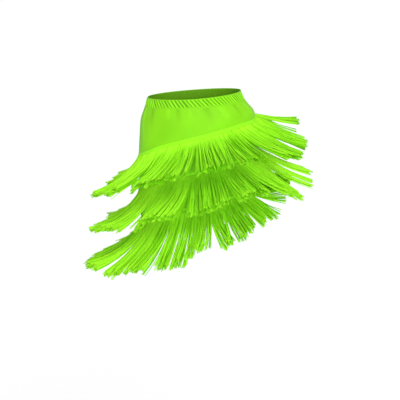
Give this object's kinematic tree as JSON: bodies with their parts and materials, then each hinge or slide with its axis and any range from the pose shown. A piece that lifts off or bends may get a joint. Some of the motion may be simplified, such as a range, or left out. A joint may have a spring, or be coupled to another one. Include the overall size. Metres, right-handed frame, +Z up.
{
  "type": "latin dance skirt",
  "caption": "Slim stretch skirt for latin dance with a gathered elastic waistband and slanted tiers of long fringe, worn shape, fringe flung outward.",
  "frame": {"origin": "middle of the waist opening at half the height of the waistband, where the wearer's waist holds the skirt", "axes": "+Z up along the waist, -Y to the front of the skirt, +X to the wearer's left"},
  "size_m": [0.6718, 0.5799, 0.4773],
  "materials": {
    "waistband_knit": "neon lime stretch knit, gathered, soft satin sheen",
    "body_knit": "neon lime stretch knit, smooth, soft satin sheen",
    "chainette_fringe": "neon lime viscose chainette fringe, silky"
  },
  "bodies": {
    "root": {"waistband": "waistband_knit", "front_panel": "body_knit", "back_panel": "body_knit", "fringe_tier_1": "chainette_fringe", "fringe_tier_2": "chainette_fringe", "fringe_tier_3": "chainette_fringe"}
  },
  "joints": []
}
